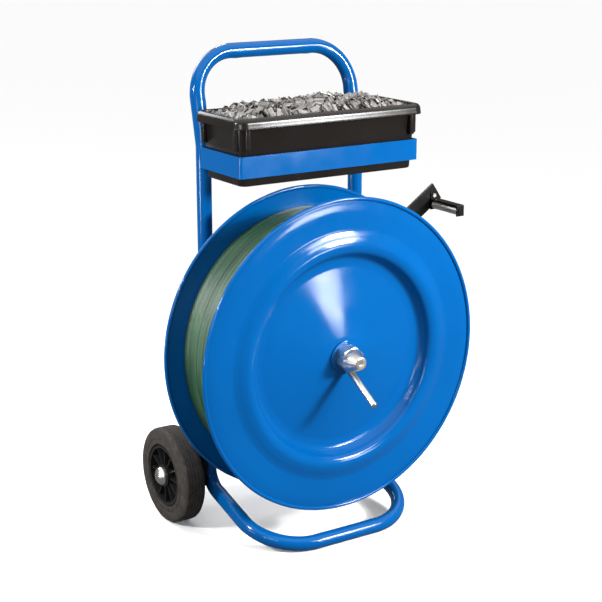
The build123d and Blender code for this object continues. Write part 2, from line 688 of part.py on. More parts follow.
# ---------------------------------------------------------------- write every node
def main():
    for side, word in ((-1, "left"), (1, "right")):
        save(f"{word}_upright", upright(side))
    save("handle_bow", handle_bow())
    save("foot_bow", foot_bow())
    save("cross_tube", cross_tube())
    save("tray_holder_ring", tray_holder_ring())
    save("ring_standoffs", *ring_standoffs())

    save("spindle", spindle())
    save("spindle_spacer", along_y(0, REEL_Z, -15, HUB_REAR_Y + 0.4, 21.0, SPINDLE_R))
    save("spindle_washer", along_y(0, REEL_Z, -190.4, CIRCLIP_Y[0], 17.5, SPINDLE_R))
    save("spindle_circlip", along_y(0, REEL_Z, *CIRCLIP_Y, 15.5, CIRCLIP_INNER_R))

    right = {"axle_plate": axle_plate(), "hub_cap": hub_cap(), "tyre": tyre(), "rim": rim(),
             "wheel_bush": wheel_bush()}
    for name, shape in right.items():
        save(f"right_{name}", shape)
        save(f"left_{name}", mirror_x(shape))
    bolts = [plate_bolt(z) for z in PLATE_BOLT_Z]
    save("axle_plate_bolts", *bolts, *[mirror_x(b) for b in bolts])
    save("axle_spacers", axle_spacer(), mirror_x(axle_spacer()))
    save("wheel_axle", along_x(AXLE_Y, WHEEL_R, -AXLE_END_X, AXLE_END_X, AXLE_R))

    save("hub_tube", along_y(0, REEL_Z, HUB_REAR_Y, HUB_FRONT_Y, HUB_OUTER_R, HUB_INNER_R))
    save("rear_hub_bush", along_y(0, REEL_Z, -26, -51, HUB_INNER_R, SPINDLE_R + RUNNING))
    save("front_hub_bush", along_y(0, REEL_Z, -165, -190, HUB_INNER_R, SPINDLE_R + RUNNING))
    save("hub_flange", hub_flange())
    save("brake_drum", brake_drum())
    save("rear_flange", rear_flange())
    save("flange_screws", *screw_ring(flange_screw))
    save("threaded_stud", threaded_stud())
    save("cardboard_core", along_y(0, REEL_Z, REEL_MID_Y - CORE_HALF, REEL_MID_Y + CORE_HALF,
                                   CORE_INNER_R + CORE_WALL, CORE_INNER_R))
    save("strap_coil", along_y(0, REEL_Z, REEL_MID_Y - COIL_HALF, REEL_MID_Y + COIL_HALF,
                               COIL_OUTER_R, CORE_INNER_R + CORE_WALL))
    save("front_flange", front_flange())
    save("clamp_washer", clamp_washer())
    save("clamp_nut", clamp_nut())
    save("clamp_bar", clamp_bar())

    save("brake_arm", brake_arm())
    save("arm_pivot_bush", arm_pivot_bush())
    save("arm_pivot_bolt", arm_pivot_bolt())
    save("arm_pivot_spacer", arm_pivot_spacer())
    save("arm_pivot_nut", arm_pivot_nut())
    save("brake_shoe", brake_shoe())
    save("brake_pad", brake_pad())
    save("shoe_screws", *[shoe_screw(x, z) for x, z in shoe_screw_places()])
    save("spring_pin", spring_pin())
    save("spring_anchor", spring_anchor())
    save("return_spring", return_spring())
    save("roller_bracket", roller_bracket())
    save("bracket_bolt", bracket_bolt())
    save("roller_pin", roller_pin())
    save("guide_roller", guide_roller())
    save("roller_bushes", *roller_bushes())

    save("seal_tray", seal_tray())
    save("seals_heap", seals_heap())


main()
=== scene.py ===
"""Looks of the strapping-band dispenser trolley: gloss blue tube frame and pressed flanges,
a wound coil of green strapping band, a black tray heaped with steel seals, and solid tyres.

Lengths are in millimetres until MM turns them into metres; lamps and bumps are in metres.
"""
import bmesh
import bpy
import json
import math
import random
from mathutils import Matrix, Vector


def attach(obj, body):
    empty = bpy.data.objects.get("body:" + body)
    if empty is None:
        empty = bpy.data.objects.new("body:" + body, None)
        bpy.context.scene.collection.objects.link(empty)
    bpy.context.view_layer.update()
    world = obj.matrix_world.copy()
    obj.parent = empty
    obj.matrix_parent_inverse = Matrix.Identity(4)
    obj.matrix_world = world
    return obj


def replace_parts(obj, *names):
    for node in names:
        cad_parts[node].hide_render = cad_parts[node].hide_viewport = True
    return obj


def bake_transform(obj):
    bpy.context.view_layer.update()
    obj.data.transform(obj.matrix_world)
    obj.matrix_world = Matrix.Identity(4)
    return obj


MM = 0.001
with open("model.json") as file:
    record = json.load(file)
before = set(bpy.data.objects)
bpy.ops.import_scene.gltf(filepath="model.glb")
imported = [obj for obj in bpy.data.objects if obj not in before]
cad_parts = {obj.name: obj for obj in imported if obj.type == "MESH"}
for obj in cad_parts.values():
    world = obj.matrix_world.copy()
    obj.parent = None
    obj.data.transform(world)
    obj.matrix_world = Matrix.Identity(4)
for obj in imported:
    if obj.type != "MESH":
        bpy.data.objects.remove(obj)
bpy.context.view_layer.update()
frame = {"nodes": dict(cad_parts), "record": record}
nodes = frame["nodes"]
scene = bpy.context.scene


# ---------------------------------------------------------------- camera
def direction(azimuth, elevation):
    """Unit vector towards a point seen at this azimuth and elevation, in degrees."""
    a, e = math.radians(azimuth), math.radians(elevation)
    return Vector((math.sin(a) * math.cos(e), -math.cos(a) * math.cos(e), math.sin(e)))


def add_camera():
    """A long lens at the front left, higher than the handle and looking slightly down."""
    target = Vector((-18.4, -100.0, 472.35)) * MM
    back = direction(-32.91, 15.43)
    distance = 2909.4 * MM
    data = bpy.data.cameras.new("main_camera")
    data.sensor_width = 36.0
    data.lens = 86.3
    data.clip_start, data.clip_end = 0.05, 60.0
    camera = bpy.data.objects.new("main_camera", data)
    camera.location = target + back * distance
    camera.rotation_mode = "QUATERNION"
    camera.rotation_quaternion = (-back).to_track_quat("-Z", "Y")
    scene.collection.objects.link(camera)
    scene.camera = camera


# ---------------------------------------------------------------- light and floor
LAMP_AIM = Vector((0.0, -100.0, 450.0)) * MM
LAMP_SPREAD = math.radians(90)


def softbox(name, azimuth, elevation, distance, width, height, watts):
    """A rectangular lamp that faces the middle of the trolley; its sizes are in metres."""
    data = bpy.data.lights.new(name, "AREA")
    data.shape = "RECTANGLE"
    data.size, data.size_y = width, height
    data.energy = watts
    data.spread = LAMP_SPREAD
    lamp = bpy.data.objects.new(name, data)
    toward = direction(azimuth, elevation)
    lamp.location = LAMP_AIM + toward * distance
    lamp.rotation_mode = "QUATERNION"
    lamp.rotation_quaternion = (-toward).to_track_quat("-Z", "Y")
    lamp.visible_camera = False
    scene.collection.objects.link(lamp)


def add_lights():
    """A broad key at the front right, a smaller one for the bar's shadow, and lamps for the gloss.

    Each has azimuth and elevation in degrees, then distance, width and height in metres, and watts."""
    softbox("key_light", 29, 23, 2.8, 1.10, 0.40, 14)
    softbox("shadow_light", 31, 19, 2.8, 0.40, 0.30, 26)
    softbox("low_strip", 27, 3, 2.7, 0.42, 0.36, 4.6)
    softbox("left_front_strip", -67, 3, 2.8, 0.08, 0.50, 1.2)
    softbox("left_light", -97, 27, 3.0, 0.30, 0.4, 21)
    softbox("left_low_light", -96, -5, 3.0, 0.60, 0.25, 4)
    softbox("left_front_fill", -52, 12, 2.9, 0.90, 0.7, 5)
    softbox("back_right_light", 160, 33, 3.2, 0.4, 0.35, 2.0)
    softbox("back_light", 186, 27, 3.4, 1.60, 1.2, 11)


def add_world():
    """A studio that is dark at eye height and bright overhead, with a pale backdrop in view."""
    world = bpy.data.worlds.new("studio")
    scene.world = world
    world.use_nodes = True
    tree = world.node_tree
    tree.nodes.clear()
    coordinates = tree.nodes.new("ShaderNodeTexCoord")
    split = tree.nodes.new("ShaderNodeSeparateXYZ")
    tree.links.new(coordinates.outputs["Generated"], split.inputs[0])
    height_and_grey = ((0.0, 0.20), (0.35, 0.14), (0.58, 0.3), (0.66, 1.6), (1.0, 1.6))
    stops = [(height, (grey, grey, grey)) for height, grey in height_and_grey]
    studio = tree.nodes.new("ShaderNodeBackground")
    tree.links.new(ramp_colour(tree, split.outputs["Z"], stops), studio.inputs["Color"])
    backdrop = tree.nodes.new("ShaderNodeBackground")
    backdrop.inputs["Color"].default_value = (0.96, 0.96, 0.96, 1.0)
    path = tree.nodes.new("ShaderNodeLightPath")
    mixed = tree.nodes.new("ShaderNodeMixShader")
    tree.links.new(path.outputs["Is Camera Ray"], mixed.inputs[0])
    tree.links.new(studio.outputs[0], mixed.inputs[1])
    tree.links.new(backdrop.outputs[0], mixed.inputs[2])
    output = tree.nodes.new("ShaderNodeOutputWorld")
    tree.links.new(mixed.outputs[0], output.inputs["Surface"])


def add_floor():
    """Pale floor that takes shadows, but throws no light back up at the trolley."""
    mesh = bpy.data.meshes.new("floor")
    reach = 40000.0 * MM
    corners = [(-reach, -reach, 0), (reach, -reach, 0), (reach, reach, 0), (-reach, reach, 0)]
    mesh.from_pydata(corners, [], [(0, 1, 2, 3)])
    floor = bpy.data.objects.new("floor", mesh)
    scene.collection.objects.link(floor)
    material, _, shader = new_material("floor_paint")
    shader.inputs["Base Color"].default_value = (0.92, 0.92, 0.92, 1.0)
    shader.inputs["Roughness"].default_value = 0.9
    shader.inputs["Specular IOR Level"].default_value = 0.1
    mesh.materials.append(material)
    floor.visible_diffuse = False
    floor.visible_glossy = False


# ---------------------------------------------------------------- material helpers
def new_material(name):
    """An empty material, its node tree and its one shader."""
    material = bpy.data.materials.new(name)
    material.use_nodes = True
    tree = material.node_tree
    tree.nodes.clear()
    shader = tree.nodes.new("ShaderNodeBsdfPrincipled")
    output = tree.nodes.new("ShaderNodeOutputMaterial")
    tree.links.new(shader.outputs[0], output.inputs["Surface"])
    return material, tree, shader


def place_of(tree, stretch=(1.0, 1.0, 1.0)):
    """Position on the object, stretched by a factor along each axis."""
    coordinates = tree.nodes.new("ShaderNodeTexCoord")
    mapping = tree.nodes.new("ShaderNodeMapping")
    mapping.inputs["Scale"].default_value = stretch
    tree.links.new(coordinates.outputs["Object"], mapping.inputs["Vector"])
    return mapping.outputs["Vector"]


def noise(tree, place, scale, detail=3.0, roughness=0.5):
    """Value from 0 to 1 that wanders scale times in a metre."""
    node = tree.nodes.new("ShaderNodeTexNoise")
    node.inputs["Scale"].default_value = scale
    node.inputs["Detail"].default_value = detail
    node.inputs["Roughness"].default_value = roughness
    tree.links.new(place, node.inputs["Vector"])
    return node.outputs["Fac"]


def ramp_colour(tree, value, stops):
    """Colour that follows a value through (place, colour) stops."""
    node = tree.nodes.new("ShaderNodeValToRGB")
    while len(node.color_ramp.elements) < len(stops):
        node.color_ramp.elements.new(0.5)
    for element, (place, colour) in zip(node.color_ramp.elements, stops):
        element.position = place
        element.color = (*colour, 1.0)
    tree.links.new(value, node.inputs["Fac"])
    return node.outputs["Color"]


def ramp_value(tree, value, low, high, new_low, new_high):
    """The value with its range from low to high stretched to the new range."""
    node = tree.nodes.new("ShaderNodeMapRange")
    sockets = ("From Min", "From Max", "To Min", "To Max")
    for socket, number in zip(sockets, (low, high, new_low, new_high)):
        node.inputs[socket].default_value = number
    tree.links.new(value, node.inputs["Value"])
    return node.outputs["Result"]


def scaled(tree, value, factor):
    node = tree.nodes.new("ShaderNodeMath")
    node.operation = "MULTIPLY"
    tree.links.new(value, node.inputs[0])
    node.inputs[1].default_value = factor
    return node.outputs[0]


def total(tree, first, second):
    node = tree.nodes.new("ShaderNodeMath")
    tree.links.new(first, node.inputs[0])
    tree.links.new(second, node.inputs[1])
    return node.outputs[0]


def add_bump(tree, shader, height, distance):
    """Relief of this depth, in metres, on the shader's surface."""
    node = tree.nodes.new("ShaderNodeBump")
    node.inputs["Distance"].default_value = distance
    node.inputs["Strength"].default_value = 1.0
    tree.links.new(height, node.inputs["Height"])
    tree.links.new(node.outputs["Normal"], shader.inputs["Normal"])


def shade(colour, factor):
    """The colour made lighter or darker by a factor."""
    return tuple(min(1.0, c * factor) for c in colour)


# ---------------------------------------------------------------- materials
def enamel(name, colour, gloss=0.08, specular=0.24, peel=0.00005, tint=(1.0, 1.0, 1.0)):
    """Sprayed gloss enamel, with orange peel, patchy haze and a slight drift of tone."""
    material, tree, shader = new_material(name)
    place = place_of(tree)
    drift = noise(tree, place, 4.0, 2.0)
    colours = ramp_colour(tree, drift, ((0.3, shade(colour, 0.93)), (0.7, shade(colour, 1.05))))
    tree.links.new(colours, shader.inputs["Base Color"])
    haze = noise(tree, place, 22.0, 4.0)
    rougher = ramp_value(tree, haze, 0.35, 0.75, gloss, gloss + 0.09)
    tree.links.new(rougher, shader.inputs["Roughness"])
    shader.inputs["Specular IOR Level"].default_value = specular
    shader.inputs["Specular Tint"].default_value = (*tint, 1.0)
    add_bump(tree, shader, noise(tree, place, 320.0, 2.0), peel)
    return material


def metal(name, colour, rough, grain=90.0, mottle=0.12, bump=0.00003):
    """Bare or plated metal, with mottled tone and fine tool marks."""
    material, tree, shader = new_material(name)
    place = place_of(tree)
    patches = noise(tree, place, grain, 5.0, 0.6)
    dark, light = shade(colour, 1.0 - mottle), shade(colour, 1.0 + mottle)
    colours = ramp_colour(tree, patches, ((0.3, dark), (0.7, light)))
    tree.links.new(colours, shader.inputs["Base Color"])
    shader.inputs["Metallic"].default_value = 1.0
    rougher = ramp_value(tree, patches, 0.3, 0.7, rough + 0.08, max(0.02, rough - 0.05))
    tree.links.new(rougher, shader.inputs["Roughness"])
    add_bump(tree, shader, noise(tree, place, grain * 9.0, 3.0), bump)
    return material


def plastic(name, colour, rough, specular=0.5, grain=700.0, bump=0.00006, mottle=0.12):
    """Moulded plastic: a fine grained skin with patchy gloss."""
    material, tree, shader = new_material(name)
    place = place_of(tree)
    patches = noise(tree, place, 14.0, 4.0, 0.6)
    dark, light = shade(colour, 1.0 - mottle), shade(colour, 1.0 + mottle)
    colours = ramp_colour(tree, patches, ((0.3, dark), (0.7, light)))
    tree.links.new(colours, shader.inputs["Base Color"])
    rougher = ramp_value(tree, patches, 0.3, 0.7, rough - 0.05, rough + 0.06)
    tree.links.new(rougher, shader.inputs["Roughness"])
    shader.inputs["Specular IOR Level"].default_value = specular
    add_bump(tree, shader, noise(tree, place, grain, 3.0, 0.6), bump)
    return material


def rubber(name, colour):
    """Solid rubber: dusty, with a paler bloom and a fine pitted skin."""
    material, tree, shader = new_material(name)
    place = place_of(tree)
    bloom = noise(tree, place, 60.0, 8.0, 0.75)
    stops = ((0.32, shade(colour, 0.5)), (0.52, colour), (0.70, shade(colour, 1.8)))
    tree.links.new(ramp_colour(tree, bloom, stops), shader.inputs["Base Color"])
    tree.links.new(ramp_value(tree, bloom, 0.2, 0.8, 0.62, 0.85), shader.inputs["Roughness"])
    shader.inputs["Specular IOR Level"].default_value = 0.3
    pits = total(tree, noise(tree, place, 420.0, 3.0, 0.7), bloom)
    add_bump(tree, shader, pits, 0.0022)
    return material


def wound_band(name):
    """Embossed green strap wound side by side: fine lines round the coil, sheen across them."""
    material, tree, shader = new_material(name)
    across = place_of(tree, (0.0, 1.0, 0.0))
    turns = noise(tree, across, 210.0, 2.0, 0.6)
    threads = noise(tree, across, 1100.0, 2.0, 0.7)
    wander = noise(tree, place_of(tree, (1.0, 4.0, 1.0)), 7.0, 4.0)
    lines = total(tree, scaled(tree, turns, 0.5), scaled(tree, threads, 0.5))
    mixed = total(tree, lines, scaled(tree, wander, 0.35))
    stops = (
        (0.50, (0.003, 0.020, 0.009)),
        (0.66, (0.012, 0.050, 0.022)),
        (0.80, (0.060, 0.140, 0.065)),
    )
    tree.links.new(ramp_colour(tree, mixed, stops), shader.inputs["Base Color"])
    tree.links.new(ramp_value(tree, threads, 0.3, 0.7, 0.36, 0.48), shader.inputs["Roughness"])
    shader.inputs["Specular IOR Level"].default_value = 0.9
    shader.inputs["Anisotropic"].default_value = 0.9
    shader.inputs["Anisotropic Rotation"].default_value = 0.25
    tangent = tree.nodes.new("ShaderNodeTangent")
    tangent.direction_type = "RADIAL"
    tangent.axis = "Y"
    tree.links.new(tangent.outputs[0], shader.inputs["Tangent"])
    add_bump(tree, shader, lines, 0.0009)
    return material


def seal_metal(name):
    """Small seals pressed from zinc-coated strip, each one a different grey."""
    material, tree, shader = new_material(name)
    place = place_of(tree)
    geometry = tree.nodes.new("ShaderNodeNewGeometry")
    one = geometry.outputs["Random Per Island"]
    spots = noise(tree, place, 260.0, 4.0, 0.6)
    mixed = total(tree, scaled(tree, one, 0.7), scaled(tree, spots, 0.5))
    stops = (
        (0.15, (0.062, 0.057, 0.053)),
        (0.55, (0.165, 0.156, 0.148)),
        (1.0, (0.35, 0.335, 0.32)),
    )
    tree.links.new(ramp_colour(tree, mixed, stops), shader.inputs["Base Color"])
    shader.inputs["Metallic"].default_value = 0.3
    tree.links.new(ramp_value(tree, spots, 0.3, 0.7, 0.36, 0.55), shader.inputs["Roughness"])
    add_bump(tree, shader, spots, 0.00012)
    return material


def board(name):
    """Wound cardboard core, with the paper's plies and fibres."""
    material, tree, shader = new_material(name)
    place = place_of(tree, (1.0, 0.25, 1.0))
    fibres = noise(tree, place, 240.0, 5.0, 0.7)
    stops = ((0.3, (0.25, 0.16, 0.085)), (0.7, (0.42, 0.29, 0.17)))
    tree.links.new(ramp_colour(tree, fibres, stops), shader.inputs["Base Color"])
    shader.inputs["Roughness"].default_value = 0.9
    add_bump(tree, shader, fibres, 0.0003)
    return material


def make_materials():
    """One material for each slot that the record names."""
    return {
        "blue_paint": enamel("blue_enamel", (0.0, 0.069, 0.240), tint=(0.85, 0.88, 1.0)),
        "black_paint": enamel("black_enamel", (0.0052, 0.0046, 0.0046), 0.34, 0.14, 0.00008),
        "zinc_steel": metal("zinc_plate", (0.64, 0.62, 0.575), 0.29, 60.0, 0.22, 0.00002),
        "chrome": metal("chrome_plate", (0.74, 0.69, 0.66), 0.47, 40.0, 0.05, 0.00001),
        "tyre_rubber": rubber("tyre_rubber", (0.034, 0.0298, 0.0270)),
        "brake_rubber": rubber("brake_rubber", (0.035, 0.033, 0.031)),
        "rim_plastic": plastic("rim_plastic", (0.010, 0.010, 0.010), 0.42, 0.3),
        "bush_plastic": plastic("bush_plastic", (0.52, 0.50, 0.46), 0.45),
        "bronze": metal("bronze", (0.55, 0.33, 0.13), 0.34),
        "tray_plastic": plastic("tray_plastic", (0.0085, 0.0068, 0.0058), 0.25, 0.34, 420.0, 0.00004),
        "seal_steel": seal_metal("seal_steel"),
        "strap_plastic": wound_band("wound_band"),
        "core_board": board("core_board"),
    }


# ---------------------------------------------------------------- mesh helpers
def piece(name, points, faces, body, slot, crease=32.0):
    """One shown piece, smooth but for edges sharper than crease degrees."""
    mesh = bpy.data.meshes.new(name)
    mesh.from_pydata([Vector(p) * MM for p in points], [], faces)
    work = bmesh.new()
    work.from_mesh(mesh)
    bmesh.ops.recalc_face_normals(work, faces=work.faces)
    for face in work.faces:
        face.smooth = True
    limit = math.radians(crease)
    for edge in work.edges:
        if len(edge.link_faces) == 2 and edge.calc_face_angle(0.0) > limit:
            edge.smooth = False
    work.to_mesh(mesh)
    work.free()
    made = bpy.data.objects.new(name, mesh)
    scene.collection.objects.link(made)
    mesh.materials.append(materials[slot])
    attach(made, body)
    return made


def turned(profile, axis, centre, steps):
    """Points and faces of a closed (radius, along) loop turned about an axis through centre."""
    points, faces = [], []
    count = len(profile)
    for i in range(steps):
        a = 2 * math.pi * i / steps
        c, s = math.cos(a), math.sin(a)
        for radius, along in profile:
            if axis == "Y":
                points.append((centre[0] + radius * c, along, centre[2] + radius * s))
            else:
                points.append((along, centre[1] + radius * c, centre[2] + radius * s))
    for i in range(steps):
        for j in range(count):
            a, b = i * count, ((i + 1) % steps) * count
            faces.append((a + j, a + (j + 1) % count, b + (j + 1) % count, b + j))
    return points, faces


def smooth_line(points, first, last, per_span):
    """Cubic through (x, y) points, with given end slopes, sampled per_span times a span."""
    slopes = []
    for i in range(len(points)):
        if i == 0:
            slopes.append(first)
        elif i == len(points) - 1:
            slopes.append(last)
        else:
            (x0, y0), (x1, y1), (x2, y2) = points[i - 1:i + 2]
            d0 = math.dist((x0, y0), (x1, y1))
            d1 = math.dist((x1, y1), (x2, y2))
            dx = ((x1 - x0) / d0 * d1 + (x2 - x1) / d1 * d0) / (d0 + d1)
            dy = ((y1 - y0) / d0 * d1 + (y2 - y1) / d1 * d0) / (d0 + d1)
            slopes.append((dx, dy))
    line = []
    for p, q, m, n in zip(points, points[1:], slopes, slopes[1:]):
        length = math.dist(p, q)
        for k in range(per_span):
            t = k / per_span
            h = (2 * t**3 - 3 * t**2 + 1, t**3 - 2 * t**2 + t, 3 * t**2 - 2 * t**3, t**3 - t**2)
            x, y = (h[0] * p[i] + h[1] * length * m[i] + h[2] * q[i] + h[3] * length * n[i]
                    for i in (0, 1))
            line.append((x, y))
    line.append(points[-1])
    return line


# ---------------------------------------------------------------- the reel
REEL = (0.0, -151.0, 386.0)     # middle of the coil, on the reel's axis
HALF_GAP = 77.0                 # from there to each flange's edge plane
FLANGE_R = 318.0
BEAD_R = 4.0                    # rolled bead round the flange's edge
SHEET = 2.0                     # thickness of a flange
REAR_HOLE_R, FRONT_HOLE_R = 22.5, 13.75
COIL_R, COIL_HALF = 276.0, 74.5
CORE_R = 211.5


def flange_loop(hole):
    """Closed section of a pressed flange as (radius, height above the edge plane, outwards)."""
    flat_end, cone_base, cone_top = (256.0, 0.0), (166.0, -18.3), (36.0, 3.0)
    ridge = [(246, 2.3), (235, 6.4), (223, 8.9), (209, 4.0)]
    wall = [(202, -7.5), (194, -17.6), (181, -20.0)]
    slope = (cone_top[1] - cone_base[1]) / (cone_top[0] - cone_base[0])
    run = math.hypot(1.0, slope)
    inward = (-1.0 / run, -slope / run)
    pressed = smooth_line([flat_end, *ridge, *wall, cone_base], (-1.0, 0.0), inward, 7)
    edge = FLANGE_R - BEAD_R
    rim_groove = [(edge - 3.6, -1.3), (edge - 6.5, -1.1), (edge - 10.5, 0.0), (285.0, 0.0)]
    middle = (96.0, cone_top[1] - slope * (cone_top[0] - 96.0))
    outer = [*rim_groove, *pressed, middle, (42.0, 2.0), cone_top, (hole, 3.0)]
    inner = [(r, y - SHEET) for r, y in reversed(outer)]
    bead = []
    steps = 14
    for i in range(steps + 1):
        a = math.radians(-165 + 330 * i / steps)
        bead.append((edge + BEAD_R * math.cos(a), BEAD_R * math.sin(a) - SHEET / 2))
    return outer + inner + bead


def add_flange(name, node, body, side, hole):
    """The front (side -1) or rear (side 1) flange, with a hole of this radius."""
    loop = [(r, REEL[1] + side * (HALF_GAP + y)) for r, y in flange_loop(hole)]
    points, faces = turned(loop, "Y", REEL, 240)
    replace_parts(piece(name, points, faces, body, "blue_paint", 40.0), node)


# ---------------------------------------------------------------- clamp nut
NUT_BACK = -235.0
NUT_TIP = -286.6
NUT_FLATS = 48.0
NUT_TURN = math.radians(14)
THREAD_R = 13.45
THREAD_END = -277.0


def add_nut():
    """Collar, hexagon and a turned nose that tapers to a small drilled end."""
    steps = 96
    full = NUT_FLATS        # past the corners, so cut back to the hexagon's sides below
    collar, hexagon, nose = NUT_BACK - 3.0, NUT_BACK - 4.4, NUT_BACK - 23.0
    rings = [(THREAD_R, NUT_BACK), (25.5, NUT_BACK), (25.5, collar), (26.0, collar - 0.2)]
    rings += [(full, hexagon), (full, nose + 1.8), (25.6, nose), (23.4, nose - 0.5)]
    rings += [(14.2, NUT_TIP + 3.2), (12.8, NUT_TIP + 0.9), (11.0, NUT_TIP), (6.2, NUT_TIP)]
    rings += [(5.2, NUT_TIP + 1.4), (0.6, NUT_TIP + 1.8), (0.6, THREAD_END), (THREAD_R, THREAD_END)]
    points, faces = [], []
    for i in range(steps):
        a = 2 * math.pi * i / steps
        to_flat = (a + math.pi / 6 + NUT_TURN) % (math.pi / 3) - math.pi / 6
        side = NUT_FLATS / 2 / math.cos(to_flat)
        for radius, y in rings:
            r = min(radius, side)
            points.append((REEL[0] + r * math.cos(a), y, REEL[2] + r * math.sin(a)))
    for i in range(steps):
        a, b = i * len(rings), (i + 1) % steps * len(rings)
        for j in range(len(rings)):
            k = (j + 1) % len(rings)
            faces.append((a + j, a + k, b + k, b + j))
    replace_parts(piece("coned_nut", points, faces, "clamp_knob", "zinc_steel", 24.0), "clamp_nut")


# ---------------------------------------------------------------- strap coil
def add_coil():
    """The band is wound side by side: each turn sits a little higher or lower than the next."""
    chance = random.Random(11)
    top = []
    rear, front = REEL[1] + COIL_HALF, REEL[1] - COIL_HALF
    y = front
    while y < rear:
        width = chance.uniform(4.0, 12.5)
        end = min(y + width, rear)
        radius = COIL_R - chance.uniform(0.05, 1.3)
        rise = chance.uniform(-0.25, 0.25)
        if end - y > 1.6:
            top += [(radius - 0.5, y + 0.1), (radius, y + 0.5)]
            top += [(radius + rise, end - 0.5), (radius + rise - 0.5, end - 0.1)]
        y = end
    side = (262.0, 244.0, 226.0, CORE_R)
    rear_face = [(r, rear) for r in side]
    front_face = [(r, front) for r in reversed(side)]
    points, faces = turned(top + rear_face + front_face, "Y", REEL, 200)
    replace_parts(piece("wound_coil", points, faces, "reel", "strap_plastic", 25.0), "strap_coil")


# ---------------------------------------------------------------- tyres
WHEEL = (242.0, 44.5, 100.0)    # middle of the right wheel
TYRE_HALF = 25.0


def tyre_loop():
    """Section of the tyre as (radius, along the axle from the middle), outside first."""
    crown, floor_r = 99.9, 98.4
    tread = [(99.4, -18.0)]
    for groove in (-14.0, -7.5, 0.0, 7.5, 14.0):
        tread += [(crown, groove - 1.1), (floor_r, groove - 0.6)]
        tread += [(floor_r, groove + 0.6), (crown, groove + 1.1)]
    tread.append((99.4, 18.0))
    shoulder = [(98.2, 20.4), (95.6, 22.4), (91.5, 23.6), (84.0, 24.2)]
    ring_groove = [(77.5, 24.3), (76.6, 23.4), (75.6, 24.3)]
    bead = [(71.5, 24.6), (70.4, TYRE_HALF), (67.2, TYRE_HALF), (66.2, 24.2), (65.6, 22.5), (65.3, 18.0)]
    outside = shoulder + ring_groove + bead
    inside = [(r, -a) for r, a in reversed(outside)]
    return tread + outside + inside


def add_tyre(word, side):
    """The tyre of the left (side -1) or right (side 1) wheel."""
    loop = [(r, side * WHEEL[0] + a) for r, a in tyre_loop()]
    points, faces = turned(loop, "X", WHEEL, 150)
    made = piece(word + "_moulded_tyre", points, faces, word + "_wheel", "tyre_rubber", 28.0)
    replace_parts(made, word + "_tyre")


# ---------------------------------------------------------------- frame tube
TUBE_R = 15.0
UPRIGHT_X = 181.0
LEAN_Z = 789.0          # where the uprights start to lean back to the handle
HANDLE_Y, HANDLE_Z = 38.7, 965.0
FOOT_Y = -243.0
FOOT_SLOPE = math.radians(15.5)
LEAN_R, HANDLE_R, HEEL_R, FOOT_R = 90.0, 86.0, 45.0, 108.0


def rounded_path(corners, radii):
    """Arcs at the corners of a closed path: (point, depth in the bend from 0 to 1, inside) each."""
    count = len(corners)
    path = []
    for i, (corner, radius) in enumerate(zip(corners, radii)):
        here = Vector(corner)
        before, after = Vector(corners[i - 1]), Vector(corners[(i + 1) % count])
        into, out = (here - before).normalized(), (after - here).normalized()
        turn = into.angle(out)
        reach = radius * math.tan(turn / 2)
        inside = (out - into).normalized()
        centre = here + inside * (radius / math.cos(turn / 2))
        start = here - into * reach - centre
        axis = into.cross(out).normalized()
        steps = max(8, round(math.degrees(turn) / 2.5))
        for k in range(steps + 1):
            share = k / steps
            arm = Matrix.Rotation(turn * share, 3, axis) @ start
            depth = min(1.0, math.sin(math.pi * share) * 1.6)
            path.append((centre + arm, depth, -arm.normalized()))
    return path


def fill_runs(path, spacing):
    """Adds points on the long straight runs, and near their ends for the bends' first ripple."""
    full = []
    for i, item in enumerate(path):
        full.append(item)
        following = path[(i + 1) % len(path)]
        gap = (following[0] - item[0]).length
        if gap > 2 * spacing:
            parts = max(4, round(gap / spacing))
            for k in range(1, parts):
                share = k / parts
                place = item[0].lerp(following[0], share)
                near_start, near_end = gap * share, gap * (1 - share)
                side = item[2] if near_start < near_end else following[2]
                ripple = -0.8 * math.exp(-((min(near_start, near_end) - 9.0) / 7.0) ** 2)
                full.append((place, ripple, side))
    return full


